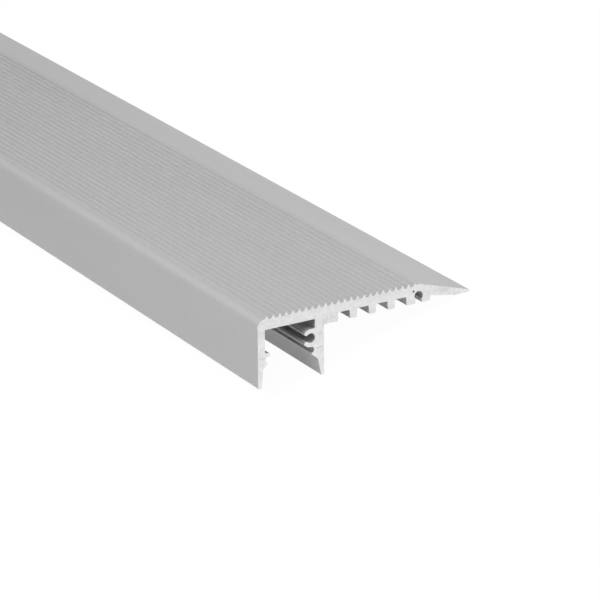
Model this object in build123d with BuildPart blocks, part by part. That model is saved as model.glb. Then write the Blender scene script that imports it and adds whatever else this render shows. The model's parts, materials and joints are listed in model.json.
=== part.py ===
"""LED stair nosing profile: one length of extruded aluminium, resting on the floor.

The section is drawn in its own frame: x runs back from the front face, y runs up from
the seat, the underside of the tread that lies on the step. Sizes are in millimetres and
angles in degrees.
"""

import os
from math import atan2, degrees, radians, tan

from build123d import *

# The stock
stock_length = 1000.0
overall_width = 66.3
tread_height = 5.75
leg_drop = 14.25
edge_radius = 0.3
corner_radius = 0.3
mouth_radius = 0.2

# Nose and tread ribs
nose_radius = 2.0
nose_land_drop = 0.65
ribbed_width = 46.0
rib_pitch = 2.0
rib_setback = 0.8
rib_depth = 0.8
rib_tip_width = 0.4
rib_root_width = 1.2
rib_tip_radius = 0.15
rib_groove_radius = 0.5
rib_foot_radius = 0.2

# Back of the tread, sloping down to a feather edge
back_land_drop = 0.35
back_land_width = 1.7
back_land_radius = 3.0
feather_thickness = 0.65
feather_tip_radius = 0.2
feather_flat_width = 5.0
feather_root_height = 1.55

# LED channel between the front wall and the web
front_wall = 2.2
channel_width = 15.3
web_thickness = 2.75
tread_over_channel = 3.65
front_foot_thickness = 1.1
web_foot_thickness = 0.9

# Screw ports: the one in the web opens to the front, the back one downwards
port_radius = 1.35
port_wall = 1.2
web_port_drop = 5.15
web_port_setback = 1.35
web_port_half_opening = 47.5
back_port_x = 50.0
back_port_height = 2.1
back_port_mouth = 1.95
back_port_front_wall = 3.8
back_port_back_wall = 3.7

# Seat of the snap-in cover: a groove in each wall, a rib above and a lip below it
cover_groove_height = 1.75
front_groove_reach = 0.1
front_groove_radius = 0.75
front_rib_reach = 1.5
front_rib_thickness = 1.1
front_rib_slope = 5.0
front_rib_radius = 0.35
front_lip_reach = 0.75
front_lip_land = 0.25
front_lip_top_slope = 38.0
front_lip_top_radius = 0.5
front_lower_thickness = 1.55
web_groove_reach = 0.3
web_groove_radius = 0.8
web_lip_reach = 1.1
web_lower_thickness = 1.85
lip_thickness = 0.35
lip_radius = 0.15
lip_slope = 39.5
lip_root_radius = 0.8

# Stubs under the tread, between the block beside the web and the back port
block_width = 4.35
stub_count = 3
stub_width = 2.1
stub_draft = 3.5
tread_over_stubs = 3.25

# Places that follow from the sizes above
cut_past = 1.0
pick_margin = 0.01
foot_y = -leg_drop
groove_floor = tread_height - rib_depth
nose_land = tread_height - nose_land_drop
back_land = tread_height - back_land_drop
rib_count = int(ribbed_width / rib_pitch + 0.5) + 1
rib_first_x = nose_radius + rib_setback
rib_last_x = rib_first_x + (rib_count - 1) * rib_pitch
feather_root_x = back_port_x + back_port_back_wall
back_port_mouth_end_x = back_port_x + back_port_mouth / 2
web_inner_x = front_wall + channel_width
web_outer_x = web_inner_x + web_thickness
web_foot_x = web_outer_x - web_foot_thickness
channel_ceiling = tread_height - tread_over_channel
port_outer = port_radius + port_wall
web_port_x = web_inner_x - web_port_setback
web_port_y = channel_ceiling - web_port_drop
groove_top = web_port_y - port_outer
groove_bottom = groove_top - cover_groove_height
lip_bottom = groove_bottom - lip_thickness
gaps_start_x = web_outer_x + block_width
gaps_end_x = back_port_x - back_port_front_wall
gap_pitch = (gaps_end_x - gaps_start_x + stub_width) / (stub_count + 1)
gap_mouth = gap_pitch - stub_width


def rib_half_width(height):
    """Half width of a rib at a height above the seat."""
    share = (tread_height - height) / rib_depth
    return (rib_tip_width + share * (rib_root_width - rib_tip_width)) / 2


def rib_corners():
    """Corners of the ribbed top from the nose to the back land, with their radii."""
    corners = [(rib_first_x - rib_half_width(nose_land), nose_land, rib_foot_radius)]
    for index in range(rib_count):
        middle = rib_first_x + index * rib_pitch
        if index > 0:
            corners.append((middle - rib_root_width / 2, groove_floor, rib_groove_radius))
        corners.append((middle - rib_tip_width / 2, tread_height, rib_tip_radius))
        corners.append((middle + rib_tip_width / 2, tread_height, rib_tip_radius))
        if index < rib_count - 1:
            corners.append((middle + rib_root_width / 2, groove_floor, rib_groove_radius))
    corners.append((rib_last_x + rib_half_width(back_land), back_land, rib_foot_radius))
    return corners


def body_corners():
    """Corners of the profile's outside, with the channel still solid."""
    return [
        (0, foot_y, edge_radius),
        (0, nose_land, nose_radius),
        *rib_corners(),
        (rib_last_x + back_land_width, back_land, back_land_radius),
        (overall_width, feather_thickness, feather_tip_radius),
        (overall_width, 0, edge_radius),
        (overall_width - feather_flat_width, 0, 0),
        (feather_root_x, feather_root_height, corner_radius),
        (feather_root_x, 0, corner_radius),
        (web_outer_x, 0, corner_radius),
        (web_outer_x, foot_y, edge_radius),
    ]


def front_side_corners():
    """Corners of the channel's front side, from below the foot up to the ceiling."""
    lip_x = front_wall + front_lip_reach
    rib_x = front_wall + front_rib_reach
    groove_x = front_wall + front_groove_reach
    lip_top = lip_bottom + front_lip_land
    lip_top_root_y = lip_top + (lip_x - groove_x) * tan(radians(front_lip_top_slope))
    root_y = lip_bottom - (lip_x - front_lower_thickness) * tan(radians(lip_slope))
    taper = (front_lower_thickness - front_foot_thickness) / (root_y - foot_y)
    rib_top = groove_top + front_rib_thickness
    rib_tip_y = rib_top - front_rib_reach * tan(radians(front_rib_slope))
    return [
        (front_foot_thickness - taper * cut_past, foot_y - cut_past, 0),
        (front_lower_thickness, root_y, lip_root_radius),
        (lip_x, lip_bottom, lip_radius),
        (lip_x, lip_top, lip_radius),
        (groove_x, lip_top_root_y, front_lip_top_radius),
        (groove_x, groove_top, front_groove_radius),
        (rib_x, groove_top, front_rib_radius),
        (rib_x, rib_tip_y, front_rib_radius),
        (front_wall, rib_top, corner_radius),
        (front_wall, channel_ceiling, corner_radius),
    ]


def web_side_corners():
    """Corners of the channel's web side, from the ceiling down to below the foot."""
    lip_x = web_inner_x - web_lip_reach
    groove_x = web_inner_x - web_groove_reach
    root_x = web_outer_x - web_lower_thickness
    root_y = lip_bottom - (root_x - lip_x) * tan(radians(lip_slope))
    taper = (web_lower_thickness - web_foot_thickness) / (root_y - foot_y)
    return [
        (web_inner_x, channel_ceiling, corner_radius),
        (web_inner_x, web_port_y + port_outer, corner_radius),
        (web_port_x, web_port_y + port_outer, 0),
        (web_port_x, groove_top, 0),
        (groove_x, groove_top, web_groove_radius),
        (groove_x, groove_bottom, web_groove_radius),
        (lip_x, groove_bottom, lip_radius),
        (lip_x, lip_bottom, lip_radius),
        (root_x, root_y, lip_root_radius),
        (web_foot_x + taper * cut_past, foot_y - cut_past, 0),
    ]


def gap_corners():
    """Corners of one gap between two stubs, with its mouth centred on the seat."""
    height = tread_height - tread_over_stubs
    top = gap_mouth / 2 - height * tan(radians(stub_draft))
    bottom = gap_mouth / 2 + cut_past * tan(radians(stub_draft))
    return [
        (-top, height, corner_radius),
        (top, height, corner_radius),
        (bottom, -cut_past, 0),
        (-bottom, -cut_past, 0),
    ]


def outline(corners):
    """Closed outline through corners given as x, y and radius."""
    points = [(x, y) for x, y, radius in corners]
    radii = [radius for x, y, radius in corners]
    FilletPolyline(*points, radius=radii, close=True)


with BuildSketch() as stub_gap:
    with BuildLine():
        outline(gap_corners())
    make_face()

with BuildLine() as web_port_ring:
    CenterArc(
        (web_port_x, web_port_y),
        port_radius + port_wall / 2,
        web_port_half_opening - 180,
        360 - 2 * web_port_half_opening,
    )

with BuildSketch() as section:
    with BuildLine():
        outline(body_corners())
    make_face()
    with BuildLine():
        outline(front_side_corners() + web_side_corners())
    make_face(mode=Mode.SUBTRACT)

    # Screw port in the web: two rounded fingers around the bore
    SlotArc(web_port_ring.edge(), port_wall)
    with Locations((web_port_x, web_port_y)):
        Circle(port_radius, mode=Mode.SUBTRACT)

    # Screw port under the back of the tread
    with Locations((back_port_x, back_port_height)):
        Circle(port_radius, mode=Mode.SUBTRACT)
        Rectangle(
            back_port_mouth,
            back_port_height + cut_past,
            align=(Align.CENTER, Align.MAX),
            mode=Mode.SUBTRACT,
        )

    with Locations(((gaps_start_x + gaps_end_x) / 2, 0)):
        with GridLocations(gap_pitch, gap_pitch, stub_count + 1, 1):
            add(stub_gap.sketch, mode=Mode.SUBTRACT)

    # Rounded mouths of the gaps and of the back port, and inner edges of the two feet
    mouths = section.vertices().filter_by_position(Axis.Y, -pick_margin, pick_margin)
    mouths = mouths.filter_by_position(
        Axis.X, gaps_start_x - pick_margin, back_port_mouth_end_x + pick_margin
    )
    feet = section.vertices().filter_by_position(
        Axis.Y, foot_y - pick_margin, foot_y + pick_margin
    )
    feet = feet.filter_by_position(
        Axis.X, front_foot_thickness - pick_margin, web_foot_x + pick_margin
    )
    fillet(mouths + feet, radius=mouth_radius)

# Unheld, the profile tips back until it rests on the web foot and the feather edge
rest_tilt = degrees(atan2(leg_drop, overall_width - web_outer_x))
resting = section.sketch.rotate(Axis.Z, -rest_tilt)
resting_box = resting.bounding_box()
floor_plane = Plane(
    origin=(-resting_box.center().X, 0, -resting_box.min.Y),
    x_dir=(1, 0, 0),
    z_dir=(0, -1, 0),
)

with BuildPart() as nosing_profile:
    with BuildSketch(floor_plane):
        add(resting)
    extrude(amount=stock_length / 2, both=True)

os.makedirs("parts", exist_ok=True)
nosing_profile.part.label = "nosing_profile"
export_step(nosing_profile.part, "parts/nosing_profile.step")
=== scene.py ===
"""A length of LED stair nosing: its anodised sides, sawn ends, burrs and a small studio."""

import json
import random
from collections import namedtuple
from math import pi, radians

import bpy
from bpy.props import FloatProperty, FloatVectorProperty, IntProperty, PointerProperty
from bpy.types import Operator, Panel, PropertyGroup
from mathutils import Matrix, Vector


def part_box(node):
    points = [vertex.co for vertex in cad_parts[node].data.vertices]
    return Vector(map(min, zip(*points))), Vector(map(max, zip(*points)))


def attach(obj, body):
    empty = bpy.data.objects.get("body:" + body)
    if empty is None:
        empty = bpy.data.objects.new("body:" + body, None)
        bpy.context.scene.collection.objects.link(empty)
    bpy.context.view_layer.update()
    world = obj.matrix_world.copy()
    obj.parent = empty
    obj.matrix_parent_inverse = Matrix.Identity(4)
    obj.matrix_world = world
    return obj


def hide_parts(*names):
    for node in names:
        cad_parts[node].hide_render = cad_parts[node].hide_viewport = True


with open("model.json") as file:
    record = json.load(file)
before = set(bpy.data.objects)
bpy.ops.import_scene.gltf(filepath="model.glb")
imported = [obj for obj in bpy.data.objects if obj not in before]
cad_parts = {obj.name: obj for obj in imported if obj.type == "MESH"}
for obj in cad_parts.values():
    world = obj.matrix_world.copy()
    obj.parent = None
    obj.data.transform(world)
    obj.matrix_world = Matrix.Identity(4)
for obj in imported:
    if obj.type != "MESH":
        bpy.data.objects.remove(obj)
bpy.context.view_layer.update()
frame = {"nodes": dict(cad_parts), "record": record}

bl_info = {
    "name": "LED Stair Nosing",
    "version": (1, 0, 0),
    "blender": (4, 5, 0),
    "location": "3D View > Sidebar > Nosing",
    "description": "Finishes a length of extruded stair nosing and lights it in a small studio",
    "category": "Object",
}

MM = 0.001
EXTRUSION = "nosing_profile"
BODY = "root"
ANODISED, SAWN = range(2)
SAWN_METAL = "bare_sawn_aluminium"

# Limits for cleaning the extrusion's mesh, and for the angle up to which it is shaded smooth
MERGE_DISTANCE = 0.001 * MM
FLAT_ANGLE = radians(1)
END_FACING = 0.99
SMOOTH_ANGLE = radians(30)

# The bake map: the unrolled sides below, the two ends side by side above them, then the pit
BAKE_MAP = "OFBake"
SIDES_TOP = 0.80
ENDS_BOTTOM = 0.81
END_WIDTH = 0.49
FAR_END_START = 0.5
HALF_WAY_ROUND = 0.5
PIT_CORNER = 0.97
PIT_SIDE = 0.02

# Noise values that a finish stretches to its full range of tones
GRAIN_RANGE = (0.3, 0.7)
SAW_MARK_RANGE = (0.26, 0.36)
SAW_BAND_RANGE = (0.35, 0.65)
MOTTLE_RANGE = (0.25, 0.75)

# Shares of a finish's second layer, lowest tones of the sawn metal and height of the fine relief
CLOUD_SHARE = 0.4
SAW_BAND_SHARE = 0.3
SAWN_LOWEST = 0.3
SAW_MARK_LOWEST = 0.35
RELIEF_HEIGHT = 0.02 * MM

# Scores and dull patches of the ends, in millimetres in the section, with a share of the full depth
Stain = namedtuple("Stain", "behind above length width share")
STAINS = (
    # On the web
    Stain(-1.4, -6.2, 3.6, 0.5, 1.0),
    Stain(-1.2, -2.2, 2.8, 0.7, 0.7),
    Stain(-0.8, -7.3, 2.0, 0.5, 0.5),
    # On the front wall
    Stain(-19.2, 1.3, 2.6, 0.8, 0.5),
    Stain(-18.8, -6.0, 1.4, 0.8, 0.6),
    Stain(-18.6, -7.8, 2.4, 0.7, 0.5),
    # On the block beside the web and under the ribs
    Stain(0.3, 1.0, 3.0, 2.2, 0.6),
    Stain(2.9, 1.5, 2.6, 0.9, 0.8),
    Stain(-11.5, 4.6, 1.8, 0.8, 0.4),
    # On the back, from the screw port to the feather edge
    Stain(32.3, 2.6, 3.2, 1.8, 0.4),
    Stain(36.3, 2.4, 5.4, 2.8, 0.5),
    Stain(39.2, 2.2, 5.4, 1.6, 0.4),
    Stain(41.4, 0.6, 3.4, 0.9, 0.6),
)

# Distances from a stain's middle between which it fades, in halves of its length and width
STAIN_FADE = (0.9, 1.6)

# Share of a speck's width that is fully dark
SPECK_CORE = 1 / 4

# The pit: faces of its drill, and its raggedness as a share of its width
PIT_SEGMENTS = 14
PIT_RINGS = 8
PIT_RAGGEDNESS = 1 / 30

# Ribs of the tread as the section has them, behind the web's face and above the seat
RIB_COUNT = 24
RIB_PITCH = 2.0 * MM
FIRST_RIB = -17.45 * MM
RIB_TOP = 5.75 * MM

# Burrs: sides, foot as a share of the height, tip as a share of the width, ranges of their sizes
BURR_SIDES = 8
BURR_FOOT = 2.0
BURR_TIP = 1 / 3
BURR_WIDTHS = (0.7, 1.5)
BURR_HEIGHTS = (0.4, 1.2)

# Burrs under the feather edge: places behind the web's face and above the seat, size, share of lean
FEATHER_BURRS = ((35.50 * MM, 1.13 * MM), (36.80 * MM, 0.87 * MM))
FEATHER_BURR_SIZE = (3.0, 1.2)
FEATHER_BURR_LEAN = 0.5
UPSIDE_DOWN = pi

# Softboxes: their places from the floor below the end that they light, and their sides
FRONT_SOFTBOX = (-0.40, -0.06, 0.68)
BACK_SOFTBOX = (0.55, -0.32, 0.55)
FAR_SOFTBOX = (0.10, 0.90, 0.12)
NEAR_SOFTBOX_SIDE = 0.5
FAR_SOFTBOX_SIDE = 0.3

# Floor and camera
WHITE = (1.0, 1.0, 1.0, 1.0)
FLOOR_COLOUR = (0.9, 0.9, 0.9, 1.0)
FLOOR_ROUGHNESS = 0.9
SENSOR_WIDTH = 36.0
CLIP_START = 10 * MM


# The section's own directions and its corner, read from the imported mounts

def mount(name):
    """A packed mount's point and direction, in the row frame."""
    found = next(m for m in frame["record"]["mounts"] if m["name"] == name)
    return Vector(found["pos_m"]), Vector(found["axis"])


seat_point, seat_down = mount("tread_seat")
riser_point, riser_back = mount("riser_face")
UP = -seat_down.normalized()
BACK = riser_back.normalized()
ALONG = Vector((0.0, 1.0, 0.0))
STEP_CORNER = seat_point + BACK * (riser_point - seat_point).dot(BACK)
near_corner, far_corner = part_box(EXTRUSION)
NEAR_END = near_corner.y
FAR_END = far_corner.y


def at_section(behind, above, along=0.0):
    """Point behind the web, above the tread's seat and along the length from the near end."""
    return STEP_CORNER + BACK * behind + UP * above + ALONG * (NEAR_END + along)


def section_turn():
    """Turn that lays X behind the web, Y along the length and Z above the seat."""
    return Matrix((BACK, ALONG, UP)).transposed()


# What a user may change

class NosingFinish(PropertyGroup):
    """Colours and textures of the metal."""

    anodised_dark: FloatVectorProperty(
        name="Anodised dark", description="Anodised metal in the darker grains",
        subtype="COLOR", size=3, min=0.0, max=1.0, default=(0.485, 0.485, 0.485),
    )
    anodised_light: FloatVectorProperty(
        name="Anodised light", description="Anodised metal in the lighter grains",
        subtype="COLOR", size=3, min=0.0, max=1.0, default=(0.515, 0.515, 0.515),
    )
    anodised_roughness: FloatVectorProperty(
        name="Anodised roughness", description="Roughness of the darker and of the lighter grains",
        size=2, min=0.0, max=1.0, default=(0.64, 0.56),
    )
    anodised_metal: FloatProperty(
        name="Anodised metal", description="Share of metal that shines through the anodising",
        subtype="FACTOR", min=0.0, max=1.0, default=0.45,
    )
    cloud_size: FloatProperty(
        name="Cloud size", description="Width of the soft tone changes of the anodising",
        unit="LENGTH", default=12 * MM,
    )
    cloud_length: FloatProperty(
        name="Cloud length", description="Length of the soft tone changes of the anodising",
        unit="LENGTH", default=90 * MM,
    )
    grain_size: FloatProperty(
        name="Grain size", description="Size of the largest grains of the etched metal",
        unit="LENGTH", precision=5, default=0.9 * MM,
    )
    grain_relief: FloatProperty(
        name="Grain relief", description="Strength of the grain's relief",
        subtype="FACTOR", min=0.0, max=1.0, default=0.1,
    )
    sawn_dark: FloatVectorProperty(
        name="Sawn dark", description="Bare metal in the deeper saw marks",
        subtype="COLOR", size=3, min=0.0, max=1.0, default=(0.62, 0.62, 0.62),
    )
    sawn_light: FloatVectorProperty(
        name="Sawn light", description="Bare metal where the saw left it bright",
        subtype="COLOR", size=3, min=0.0, max=1.0, default=(0.86, 0.86, 0.86),
    )
    sawn_roughness: FloatVectorProperty(
        name="Sawn roughness", description="Roughness of the dark and of the bright bare metal",
        size=2, min=0.0, max=1.0, default=(0.6, 0.45),
    )
    saw_mark_width: FloatProperty(
        name="Saw mark width", description="Width of a dark saw mark",
        unit="LENGTH", precision=5, default=0.5 * MM,
    )
    saw_mark_length: FloatProperty(
        name="Saw mark length", description="Length over which a saw mark fades",
        unit="LENGTH", default=2.5 * MM,
    )
    saw_mark_relief: FloatProperty(
        name="Saw mark relief", description="Strength of the saw marks' relief",
        subtype="FACTOR", min=0.0, max=1.0, default=0.3,
    )
    saw_band_width: FloatProperty(
        name="Saw band width", description="Width of the broad tone changes that the saw left",
        unit="LENGTH", precision=4, default=2.0 * MM,
    )
    saw_band_length: FloatProperty(
        name="Saw band length", description="Length of the broad tone changes that the saw left",
        unit="LENGTH", default=40 * MM,
    )
    stain_depth: FloatProperty(
        name="Stain depth", description="Strength of the deeper scores and dull patches of the ends",
        subtype="FACTOR", min=0.0, max=1.0, default=0.8,
    )
    mottle_size: FloatProperty(
        name="Mottle size", description="Size of the mottled patches on the sawn ends",
        unit="LENGTH", precision=4, default=1.2 * MM,
    )


class NosingWear(PropertyGroup):
    """Flaws of this length: a pit, two specks and the burrs of the saw."""

    pit_behind: FloatProperty(
        name="Pit behind", description="Place of the pit in the near end, behind the web's face",
        unit="LENGTH", precision=5, default=28.15 * MM,
    )
    pit_above: FloatProperty(
        name="Pit above", description="Place of the pit in the near end, above the seat",
        unit="LENGTH", precision=5, default=3.6 * MM,
    )
    pit_width: FloatProperty(
        name="Pit width", description="Width of the pit in the near end",
        unit="LENGTH", precision=5, default=0.62 * MM,
    )
    pit_depth: FloatProperty(
        name="Pit depth", description="Depth of the pit in the near end",
        unit="LENGTH", precision=5, default=0.8 * MM,
    )
    speck_colour: FloatVectorProperty(
        name="Speck colour", description="Colour of the specks on the tread",
        subtype="COLOR", size=3, min=0.0, max=1.0, default=(0.38, 0.38, 0.38),
    )
    speck_behind: FloatProperty(
        name="Speck behind", description="Rib flank with the specks, behind the web's face",
        unit="LENGTH", precision=5, default=-7.84 * MM,
    )
    speck_above: FloatProperty(
        name="Speck above", description="Height of the specks on the flank, above the seat",
        unit="LENGTH", precision=5, default=5.38 * MM,
    )
    specks_along: FloatVectorProperty(
        name="Specks along", description="Places of the two specks along the length",
        unit="LENGTH", size=2, default=(45.9 * MM, 105.4 * MM),
    )
    speck_width: FloatProperty(
        name="Speck width", description="Distance from a speck's middle at which it has faded",
        unit="LENGTH", precision=5, default=0.35 * MM,
    )
    burr_height: FloatProperty(
        name="Burr height", description="Height of a burr above the edge it was pulled from",
        unit="LENGTH", precision=5, default=0.18 * MM,
    )
    burr_width: FloatProperty(
        name="Burr width", description="Width of a burr at its foot",
        unit="LENGTH", precision=5, default=0.44 * MM,
    )
    burr_thickness: FloatProperty(
        name="Burr thickness", description="Thickness of a burr along the length",
        unit="LENGTH", precision=5, default=0.12 * MM,
    )
    burr_raggedness: FloatProperty(
        name="Burr raggedness", description="Largest random shift of a burr's corners",
        unit="LENGTH", precision=5, default=0.018 * MM,
    )
    burr_drag: FloatProperty(
        name="Burr drag", description="How far the saw dragged a burr's tip towards the back",
        unit="LENGTH", precision=5, default=0.14 * MM,
    )
    burr_lean: FloatProperty(
        name="Burr lean", description="Largest lean of a burr to either side",
        subtype="ANGLE", default=radians(20),
    )
    chance_seed: IntProperty(
        name="Chance seed", description="Start of the random shapes of the pit and the burrs",
        default=4,
    )


class NosingStage(PropertyGroup):
    """Camera, lights and floor."""

    lens: FloatProperty(
        name="Lens", description="Focal length of the camera",
        unit="CAMERA", default=203.57,
    )
    heading: FloatProperty(
        name="Heading", description="Turn of the view away from straight along the length",
        subtype="ANGLE", default=radians(30.585),
    )
    look_down: FloatProperty(
        name="Look down", description="Angle at which the view falls on the tread",
        subtype="ANGLE", default=radians(21.009),
    )
    roll: FloatProperty(
        name="Roll", description="Turn of the camera about its own axis",
        subtype="ANGLE", default=radians(0.465),
    )
    distance: FloatProperty(
        name="Distance", description="Distance from the camera to the point it aims at",
        unit="LENGTH", default=890.85 * MM,
    )
    aim_behind: FloatProperty(
        name="Aim behind", description="The aim on the near end, behind the web's face",
        unit="LENGTH", precision=5, default=-7.271 * MM,
    )
    aim_above: FloatProperty(
        name="Aim above", description="The aim on the near end, above the tread's seat",
        unit="LENGTH", precision=5, default=8.372 * MM,
    )
    floor_size: FloatProperty(
        name="Floor size", description="Side of the square floor",
        unit="LENGTH", default=40.0,
    )
    floor_shade: FloatProperty(
        name="Floor shade", description="Share of the floor's brightness that a shadow can take",
        subtype="FACTOR", min=0.0, max=1.0, default=0.05,
    )
    floor_glow: FloatProperty(
        name="Floor glow", description="Brightness of the floor as the camera sees it",
        min=0.0, default=1.02,
    )
    world_light: FloatProperty(
        name="World light", description="Strength of the even light from all round",
        min=0.0, default=0.05,
    )
    front_power: FloatProperty(
        name="Front power", description="Power of the softbox above the front",
        unit="POWER", min=0.0, default=4.3,
    )
    back_power: FloatProperty(
        name="Back power", description="Power of the softbox above the back",
        unit="POWER", min=0.0, default=3.2,
    )
    far_power: FloatProperty(
        name="Far power", description="Power of the low softbox beyond the far end",
        unit="POWER", min=0.0, default=1.6,
    )


# Small helpers for modelling and for nodes

def only(piece):
    """Make a piece the one selected and active object."""
    bpy.ops.object.select_all(action="DESELECT")
    piece.select_set(True)
    bpy.context.view_layer.objects.active = piece


def select_faces(piece, wanted):
    """Select the faces of a piece that pass a test, and go into edit mode."""
    only(piece)
    bpy.ops.object.mode_set(mode="EDIT")
    bpy.ops.mesh.select_mode(type="FACE")
    bpy.ops.mesh.select_all(action="DESELECT")
    bpy.ops.object.mode_set(mode="OBJECT")
    for face in piece.data.polygons:
        face.select = wanted(face)
    bpy.ops.object.mode_set(mode="EDIT")


def apply_modifier(piece, name, kind, **settings):
    """Add a modifier with its settings and apply it."""
    only(piece)
    modifier = piece.modifiers.new(name, kind)
    for key, value in settings.items():
        setattr(modifier, key, value)
    bpy.ops.object.modifier_apply(modifier=modifier.name)


def feed(tree, socket, value):
    """Link a socket to another node's output, or set its own value."""
    if isinstance(value, bpy.types.NodeSocket):
        tree.links.new(value, socket)
    else:
        socket.default_value = value


def add_node(tree, kind, settings=(), **sockets):
    """Add a node, set its options and feed its sockets by their names."""
    node = tree.nodes.new(kind)
    for key, value in dict(settings).items():
        setattr(node, key, value)
    for key, value in sockets.items():
        feed(tree, node.inputs[key.replace("_", " ")], value)
    return node


def new_material(name):
    """A new material with its node tree and its shader."""
    material = bpy.data.materials.new(name)
    material.use_nodes = True
    shader = material.node_tree.nodes["Principled BSDF"]
    return material, material.node_tree, shader


def object_coordinates(tree):
    """Places in the object's own space."""
    return add_node(tree, "ShaderNodeTexCoord").outputs["Object"]


def section_coordinates(tree):
    """Places behind the web's face, along the length and above the seat, as X, Y and Z."""
    turn = section_turn().transposed()
    return add_node(
        tree, "ShaderNodeMapping", Vector=object_coordinates(tree),
        Location=-(turn @ STEP_CORNER), Rotation=turn.to_euler(),
    ).outputs["Vector"]


def noise(tree, place, size, detail):
    """Noise with patches of a size along X, Y and Z, and its finer detail."""
    scale = [1.0 / length for length in size]
    stretched = add_node(tree, "ShaderNodeMapping", Vector=place, Scale=scale)
    return add_node(
        tree, "ShaderNodeTexNoise", Vector=stretched.outputs["Vector"], Scale=1.0, Detail=detail,
    ).outputs["Fac"]


def combined(tree, operation, first, second):
    """Two values put together by a Math node's operation."""
    node = add_node(tree, "ShaderNodeMath", {"operation": operation})
    feed(tree, node.inputs[0], first)
    feed(tree, node.inputs[1], second)
    return node.outputs["Value"]


def weighted(tree, first, second, share):
    """Mix of two values, with the share that the second one takes."""
    mix = add_node(tree, "ShaderNodeMix", {"data_type": "FLOAT"}, Factor=share, A=first, B=second)
    return mix.outputs["Result"]


def spread(tree, value, low, high, to_low=0.0, to_high=1.0):
    """Stretch a range of values to another one."""
    return add_node(
        tree, "ShaderNodeMapRange", Value=value, From_Min=low, From_Max=high,
        To_Min=to_low, To_Max=to_high,
    ).outputs["Result"]


def two_tones(tree, factor, dark, light):
    """Colour between a dark and a light tone, each a colour or a node's output."""
    mix = add_node(tree, "ShaderNodeMix", {"data_type": "RGBA"}, Factor=factor)
    sockets = [socket for socket in mix.inputs if socket.type == "RGBA"]
    for socket, tone in zip(sockets, (dark, light)):
        feed(tree, socket, tone if isinstance(tone, bpy.types.NodeSocket) else (*tone, 1.0))
    return next(socket for socket in mix.outputs if socket.type == "RGBA")


def finish_shader(tree, shader, colour, tone, roughness, height, relief):
    """Give a shader its colour, its roughness from dark to light tones and its fine relief."""
    dark, light = roughness
    bump = add_node(tree, "ShaderNodeBump", Height=height, Strength=relief, Distance=RELIEF_HEIGHT)
    feed(tree, shader.inputs["Base Color"], colour)
    feed(tree, shader.inputs["Roughness"], spread(tree, tone, 0.0, 1.0, dark, light))
    feed(tree, shader.inputs["Normal"], bump.outputs["Normal"])


# Finishes

def with_specks(tree, colour, wear):
    """Colour with small dark specks on one of the tread's ribs."""
    place = object_coordinates(tree)
    for along in wear.specks_along:
        away = add_node(tree, "ShaderNodeVectorMath", {"operation": "DISTANCE"}, Vector=place)
        away.inputs[1].default_value = at_section(wear.speck_behind, wear.speck_above, along)
        clear = spread(tree, away.outputs["Value"], wear.speck_width * SPECK_CORE, wear.speck_width)
        colour = two_tones(tree, clear, wear.speck_colour, colour)
    return colour


def matt_anodised_silver(finish, wear):
    """Matt silver anodising with an etched grain and soft clouds along the length."""
    material, tree, shader = new_material("matt_anodised_silver")
    place = object_coordinates(tree)
    clouds = noise(tree, place, (finish.cloud_size, finish.cloud_length, finish.cloud_size), detail=1.0)
    grain = noise(tree, place, (finish.grain_size,) * 3, detail=3.0)
    tone = spread(tree, weighted(tree, grain, clouds, CLOUD_SHARE), *GRAIN_RANGE)
    colour = two_tones(tree, tone, finish.anodised_dark, finish.anodised_light)
    colour = with_specks(tree, colour, wear)
    finish_shader(tree, shader, colour, tone, finish.anodised_roughness, grain, finish.grain_relief)
    shader.inputs["Metallic"].default_value = finish.anodised_metal
    return material


def stained(tree, tone, place, raggedness, stain, depth):
    """Tone that drops by a depth inside the ragged outline of one stain."""
    half_length = stain.length / 2
    half_width = stain.width / 2
    centred = add_node(
        tree, "ShaderNodeMapping", Vector=place,
        Location=(-stain.behind / half_length, 0.0, -stain.above / half_width),
        Scale=(1 / (half_length * MM), 0.0, 1 / (half_width * MM)),
    )
    distance = add_node(
        tree, "ShaderNodeVectorMath", {"operation": "LENGTH"}, Vector=centred.outputs["Vector"],
    )
    edge = combined(tree, "ADD", distance.outputs["Value"], raggedness)
    clear = spread(tree, edge, *STAIN_FADE, to_low=1.0 - depth * stain.share)
    return combined(tree, "MULTIPLY", tone, clear)


def bare_sawn_aluminium(finish):
    """Bare metal as the saw left it: mottled, with broad bands, dark saw marks and stains."""
    material, tree, shader = new_material(SAWN_METAL)
    place = section_coordinates(tree)
    width, length = finish.saw_mark_width, finish.saw_mark_length
    marks = noise(tree, place, (length, length, width), detail=2.0)
    marks = spread(tree, marks, *SAW_MARK_RANGE, to_low=SAW_MARK_LOWEST)
    width, length = finish.saw_band_width, finish.saw_band_length
    bands = spread(tree, noise(tree, place, (length, length, width), detail=2.0), *SAW_BAND_RANGE)
    mottle = spread(tree, noise(tree, place, (finish.mottle_size,) * 3, detail=4.0), *MOTTLE_RANGE)
    tone = spread(tree, weighted(tree, mottle, bands, SAW_BAND_SHARE), 0.0, 1.0, to_low=SAWN_LOWEST)
    tone = combined(tree, "MINIMUM", tone, marks)
    for stain in STAINS:
        tone = stained(tree, tone, place, mottle, stain, finish.stain_depth)
    colour = two_tones(tree, tone, finish.sawn_dark, finish.sawn_light)
    finish_shader(tree, shader, colour, tone, finish.sawn_roughness, marks, finish.saw_mark_relief)
    shader.inputs["Metallic"].default_value = 1.0
    return material


# The bake map, which gives each of the two ends a large share of its own

def section_place(place):
    """Place of a point in the section, behind the web's face and above the seat."""
    offset = place - STEP_CORNER
    return offset.dot(BACK), offset.dot(UP)


def section_key(place):
    """Rounded place in the section, the same at both ends of a long edge."""
    return round(place.x / MM, 3), round(place.z / MM, 3)


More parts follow.
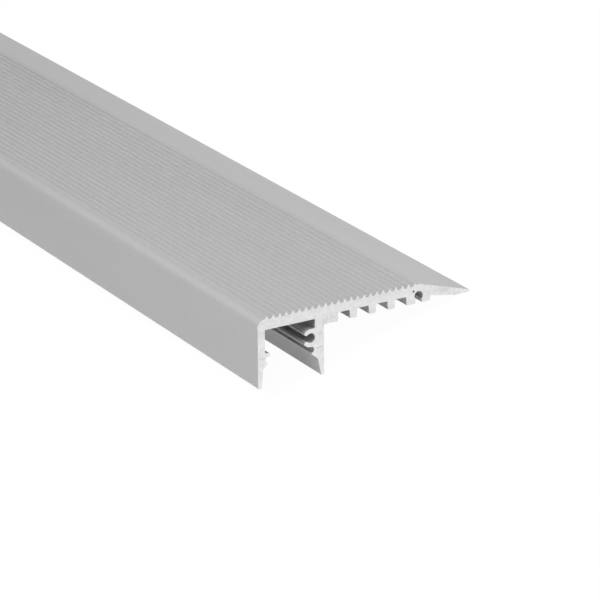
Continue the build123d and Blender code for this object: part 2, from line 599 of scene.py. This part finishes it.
def way_round(outline):
    """Share of the way round the section's outline at which each of its corners lies."""
    steps = [(after - here).length for here, after in zip(outline, outline[1:] + outline[:1])]
    shares = {}
    travelled = 0.0
    for here, step in zip(outline, steps):
        shares[section_key(here)] = travelled / sum(steps)
        travelled += step
    return shares


def lay_end(layer, corners, start, section):
    """Set an end above the sides of the map, from a start to the right."""
    front, bottom, width = section
    for loop, point in corners:
        behind, above = section_place(point)
        layer.data[loop].uv = (
            start + (behind - front) / width * END_WIDTH,
            ENDS_BOTTOM + (above - bottom) / width * END_WIDTH,
        )


def lay_side(layer, corners, shares):
    """Unroll a side: across by the way round the outline, up by the way along the length."""
    last = max(shares[section_key(point)] for loop, point in corners)
    for loop, point in corners:
        across = shares[section_key(point)]
        # The side that closes the outline ends at one, and not at nothing where it began
        if last - across > HALF_WAY_ROUND:
            across = 1.0
        layer.data[loop].uv = across, (point.y - NEAR_END) / (FAR_END - NEAR_END) * SIDES_TOP


def lay_out_bake_map(length):
    """Unroll the sides along the section's outline and set the two ends above them."""
    mesh = length.data
    ends = [face for face in mesh.polygons if face.material_index == SAWN]
    near = min(ends, key=lambda face: face.center.y)
    outline = [mesh.vertices[index].co for index in near.vertices]
    shares = way_round(outline)
    places = [section_place(point) for point in outline]
    front = min(behind for behind, above in places)
    bottom = min(above for behind, above in places)
    width = max(behind for behind, above in places) - front
    layer = mesh.uv_layers.new(name=BAKE_MAP)
    for face in mesh.polygons:
        corners = [(loop, mesh.vertices[mesh.loops[loop].vertex_index].co) for loop in face.loop_indices]
        if face.material_index == ANODISED:
            lay_side(layer, corners, shares)
        else:
            start = 0.0 if face == near else FAR_END_START
            lay_end(layer, corners, start, (front, bottom, width))


# Operators

class NOSING_OT_extruded_length(Operator):
    """Copy the extrusion, clean its mesh and give it its anodised sides and sawn ends"""

    bl_idname = "nosing.extruded_length"
    bl_label = "Extruded Length"

    def execute(self, context):
        length = self.clean_copy(context.scene)
        self.finish_sides_and_ends(length, context.scene.nosing_finish, context.scene.nosing_wear)
        lay_out_bake_map(length)
        self.sink_pit(length, context.scene.nosing_wear)
        only(length)
        bpy.ops.object.shade_smooth_by_angle(angle=SMOOTH_ANGLE)
        apply_modifier(length, "even_normals", "WEIGHTED_NORMAL", keep_sharp=True)
        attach(length, BODY)
        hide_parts(EXTRUSION)
        return {"FINISHED"}

    def clean_copy(self, scene):
        """A copy of the extrusion with long quads as sides and one face for each end."""
        node = frame["nodes"][EXTRUSION]
        length = bpy.data.objects.new("extruded_length", node.data.copy())
        scene.collection.objects.link(length)
        only(length)
        bpy.ops.mesh.customdata_custom_splitnormals_clear()
        bpy.ops.object.mode_set(mode="EDIT")
        bpy.ops.mesh.select_all(action="SELECT")
        bpy.ops.mesh.remove_doubles(threshold=MERGE_DISTANCE)
        bpy.ops.mesh.tris_convert_to_quads(face_threshold=FLAT_ANGLE, shape_threshold=pi)
        bpy.ops.object.mode_set(mode="OBJECT")
        for end in (-1.0, 1.0):
            select_faces(length, lambda face: face.normal.y * end > END_FACING)
            bpy.ops.mesh.dissolve_faces()
            bpy.ops.object.mode_set(mode="OBJECT")
        return length

    def finish_sides_and_ends(self, length, finish, wear):
        """Anodise the sides and leave the ends bare, as the saw cut them after anodising."""
        length.data.materials.clear()
        length.data.materials.append(matt_anodised_silver(finish, wear))
        length.data.materials.append(bare_sawn_aluminium(finish))
        for face in length.data.polygons:
            face.material_index = SAWN if abs(face.normal.y) > END_FACING else ANODISED
        if sum(face.material_index == SAWN for face in length.data.polygons) != 2:
            raise RuntimeError("The extrusion needs one flat face at each end")

    def sink_pit(self, length, wear):
        """Sink the small pit beside the back port into the near end, its walls in the darker anodised
        metal as painted shade.
        """
        bpy.ops.object.select_all(action="DESELECT")
        bpy.ops.mesh.primitive_uv_sphere_add(
            segments=PIT_SEGMENTS, ring_count=PIT_RINGS, radius=wear.pit_width / 2,
            location=at_section(wear.pit_behind, wear.pit_above),
        )
        drill = bpy.context.active_object
        bpy.ops.transform.resize(value=(1.0, wear.pit_depth / wear.pit_width * 2, 1.0))
        bpy.ops.object.transform_apply(location=True, rotation=True, scale=True)
        bpy.ops.object.mode_set(mode="EDIT")
        bpy.ops.mesh.select_all(action="SELECT")
        bpy.ops.transform.vertex_random(offset=wear.pit_width * PIT_RAGGEDNESS, seed=wear.chance_seed)
        bpy.ops.object.mode_set(mode="OBJECT")
        # The pit's walls take the darker anodised metal rather than the bare sawn metal: painted shade
        # that deepens the pit
        drill.data.materials.append(length.data.materials[ANODISED])
        drill.data.uv_layers.active.name = BAKE_MAP
        for spot in drill.data.uv_layers[BAKE_MAP].data:
            spot.uv = Vector((PIT_CORNER, PIT_CORNER)) + spot.uv * PIT_SIDE
        faces_before = len(length.data.polygons)
        apply_modifier(length, "pit", "BOOLEAN", object=drill, solver="EXACT")
        if len(length.data.polygons) == faces_before:
            raise RuntimeError("The pit lies outside of the near end")
        bpy.data.objects.remove(drill)


class NOSING_OT_saw_burrs(Operator):
    """Leave the thin burrs that the saw pulled up along the edges of the near end"""

    bl_idname = "nosing.saw_burrs"
    bl_label = "Saw Burrs"

    def execute(self, context):
        sawn_metal = bpy.data.materials.get(SAWN_METAL)
        if sawn_metal is None:
            raise RuntimeError("The burrs need the extruded length, which brings their metal")
        wear = context.scene.nosing_wear
        chance = random.Random(wear.chance_seed)
        burr = self.first_burr(wear)
        along = wear.burr_thickness / 2 + wear.burr_raggedness
        copies = []
        for rib in range(1, RIB_COUNT):
            lean = chance.uniform(-1.0, 1.0) * wear.burr_lean
            size = chance.uniform(*BURR_WIDTHS), chance.uniform(*BURR_HEIGHTS)
            place = at_section(FIRST_RIB + rib * RIB_PITCH, RIB_TOP, along)
            copies.append(self.copy_at(burr, place, lean, size))
        for behind, above in FEATHER_BURRS:
            lean = UPSIDE_DOWN + chance.uniform(-FEATHER_BURR_LEAN, FEATHER_BURR_LEAN) * wear.burr_lean
            place = at_section(behind, above, along)
            copies.append(self.copy_at(burr, place, lean, FEATHER_BURR_SIZE))
        bpy.data.objects.remove(burr)
        only(copies[0])
        for copy in copies:
            copy.select_set(True)
        bpy.ops.object.join()
        burrs = context.active_object
        burrs.name = "saw_burrs"
        burrs.data.materials.append(sawn_metal)
        bpy.ops.object.shade_smooth_by_angle(angle=SMOOTH_ANGLE)
        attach(burrs, BODY)
        return {"FINISHED"}

    def first_burr(self, wear):
        """One burr at the origin: a flat ragged tooth on its foot, with its tip dragged back."""
        height = wear.burr_height * (1 + BURR_FOOT)
        foot_radius = wear.burr_width / 2
        bpy.ops.object.select_all(action="DESELECT")
        bpy.ops.mesh.primitive_cone_add(
            vertices=BURR_SIDES, radius1=foot_radius, radius2=foot_radius * BURR_TIP, depth=height,
            end_fill_type="TRIFAN", location=(0.0, 0.0, wear.burr_height - height / 2),
        )
        burr = bpy.context.active_object
        bpy.ops.transform.resize(value=(1.0, wear.burr_thickness / wear.burr_width, 1.0))
        bpy.ops.object.transform_apply(location=True, rotation=True, scale=True)
        bpy.ops.object.mode_set(mode="EDIT")
        bpy.ops.mesh.select_all(action="SELECT")
        bpy.ops.mesh.subdivide(number_cuts=1)
        bpy.ops.mesh.select_mode(type="VERT")
        bpy.ops.mesh.select_all(action="DESELECT")
        bpy.ops.object.mode_set(mode="OBJECT")
        for corner in burr.data.vertices:
            corner.select = corner.co.z > wear.burr_height / 2
        bpy.ops.object.mode_set(mode="EDIT")
        bpy.ops.transform.translate(value=(wear.burr_drag, 0.0, 0.0))
        bpy.ops.mesh.select_all(action="SELECT")
        bpy.ops.transform.vertex_random(offset=wear.burr_raggedness, seed=wear.chance_seed)
        bpy.ops.object.mode_set(mode="OBJECT")
        return burr

    def copy_at(self, burr, place, lean, size):
        """A copy of the burr at a place on an edge, with its lean and its width and height."""
        copy = bpy.data.objects.new("burr", burr.data.copy())
        bpy.context.scene.collection.objects.link(copy)
        wide, tall = size
        turn = section_turn().to_4x4() @ Matrix.Rotation(lean, 4, "Y")
        copy.matrix_world = Matrix.Translation(place) @ turn @ Matrix.Diagonal((wide, 1.0, tall, 1.0))
        only(copy)
        bpy.ops.object.transform_apply(location=True, rotation=True, scale=True)
        return copy


class NOSING_OT_stage(Operator):
    """Set the floor, the world, the lights and the camera"""

    bl_idname = "nosing.stage"
    bl_label = "Stage"

    def execute(self, context):
        stage = context.scene.nosing_stage
        context.scene.view_settings.view_transform = "Standard"
        self.add_floor(stage)
        self.set_world(context.scene, stage)
        near = at_section(0.0, 0.0)
        far = at_section(0.0, 0.0, FAR_END - NEAR_END)
        self.add_softbox("front_softbox", stage.front_power, near, FRONT_SOFTBOX, NEAR_SOFTBOX_SIDE)
        self.add_softbox("back_softbox", stage.back_power, near, BACK_SOFTBOX, NEAR_SOFTBOX_SIDE)
        self.add_softbox("far_softbox", stage.far_power, far, FAR_SOFTBOX, FAR_SOFTBOX_SIDE)
        self.add_camera(context.scene, stage)
        return {"FINISHED"}

    def add_floor(self, stage):
        """A white floor on which the object leaves a faint shadow."""
        bpy.ops.object.select_all(action="DESELECT")
        bpy.ops.mesh.primitive_plane_add(size=stage.floor_size)
        floor = bpy.context.active_object
        floor.name = "floor"
        material, tree, shader = new_material("white_floor")
        shader.inputs["Base Color"].default_value = FLOOR_COLOUR
        shader.inputs["Roughness"].default_value = FLOOR_ROUGHNESS
        glow = add_node(tree, "ShaderNodeEmission", Strength=stage.floor_glow)
        share = combined(tree, "MULTIPLY", self.seen_directly(tree), 1.0 - stage.floor_shade)
        mix = tree.nodes.new("ShaderNodeMixShader")
        parts = share, shader.outputs["BSDF"], glow.outputs["Emission"]
        for socket, part in zip(mix.inputs, parts):
            tree.links.new(part, socket)
        tree.links.new(mix.outputs["Shader"], tree.nodes["Material Output"].inputs["Surface"])
        floor.data.materials.append(material)

    def seen_directly(self, tree):
        """One for rays from the camera and for those in reflections, and nothing for the light."""
        path = tree.nodes.new("ShaderNodeLightPath")
        seen = path.outputs["Is Camera Ray"]
        for name in ("Is Glossy Ray", "Is Transmission Ray"):
            seen = combined(tree, "MAXIMUM", seen, path.outputs[name])
        return seen

    def set_world(self, scene, stage):
        """White all round to the eye and in reflections, and a plain even light."""
        world = bpy.data.worlds.new("studio")
        world.use_nodes = True
        tree = world.node_tree
        background = tree.nodes["Background"]
        background.inputs["Color"].default_value = WHITE
        strength = spread(tree, self.seen_directly(tree), 0.0, 1.0, to_low=stage.world_light)
        tree.links.new(strength, background.inputs["Strength"])
        scene.world = world

    def add_softbox(self, name, power, aim, offset, side):
        """A square lamp that faces a point of the object from an offset."""
        bpy.ops.object.select_all(action="DESELECT")
        place = Vector((0.0, aim.y, 0.0)) + Vector(offset)
        turn = (place - aim).to_track_quat("Z", "Y")
        bpy.ops.object.light_add(type="AREA", location=place, rotation=turn.to_euler())
        lamp = bpy.context.active_object
        lamp.name = name
        lamp.data.energy = power
        lamp.data.size = side
        lamp.visible_camera = False

    def add_camera(self, scene, stage):
        """A long lens that looks at the near end and along the length."""
        forward = Matrix.Rotation(-stage.heading, 3, UP) @ ALONG
        right = forward.cross(UP).normalized()
        forward = Matrix.Rotation(-stage.look_down, 3, right) @ forward
        right = Matrix.Rotation(stage.roll, 3, forward) @ right
        above = right.cross(forward)
        turn = Matrix((right, above, -forward)).transposed()
        place = at_section(stage.aim_behind, stage.aim_above) - forward * stage.distance
        bpy.ops.object.camera_add()
        camera = bpy.context.active_object
        camera.name = "camera"
        camera.matrix_world = Matrix.Translation(place) @ turn.to_4x4()
        camera.data.lens = stage.lens
        camera.data.sensor_width = SENSOR_WIDTH
        camera.data.clip_start = CLIP_START
        scene.camera = camera


class NOSING_PT_panel(Panel):
    """The nosing's steps, finishes, flaws and stage"""

    bl_label = "LED Stair Nosing"
    bl_idname = "NOSING_PT_panel"
    bl_space_type = "VIEW_3D"
    bl_region_type = "UI"
    bl_category = "Nosing"

    def draw(self, context):
        layout = self.layout
        for step in STEPS:
            layout.operator(step.bl_idname)
        for group_name, group in GROUPS.items():
            box = layout.box()
            for name in group.__annotations__:
                box.prop(getattr(context.scene, group_name), name)


GROUPS = {"nosing_finish": NosingFinish, "nosing_wear": NosingWear, "nosing_stage": NosingStage}
STEPS = (NOSING_OT_extruded_length, NOSING_OT_saw_burrs, NOSING_OT_stage)
CLASSES = (*GROUPS.values(), *STEPS, NOSING_PT_panel)


def register():
    for cls in CLASSES:
        bpy.utils.register_class(cls)
    for name, group in GROUPS.items():
        setattr(bpy.types.Scene, name, PointerProperty(type=group))


def unregister():
    for name in GROUPS:
        delattr(bpy.types.Scene, name)
    for cls in reversed(CLASSES):
        bpy.utils.unregister_class(cls)


def main():
    """Run every step."""
    register()
    bpy.ops.nosing.extruded_length()
    bpy.ops.nosing.saw_burrs()
    bpy.ops.nosing.stage()


if __name__ == "__main__":
    main()
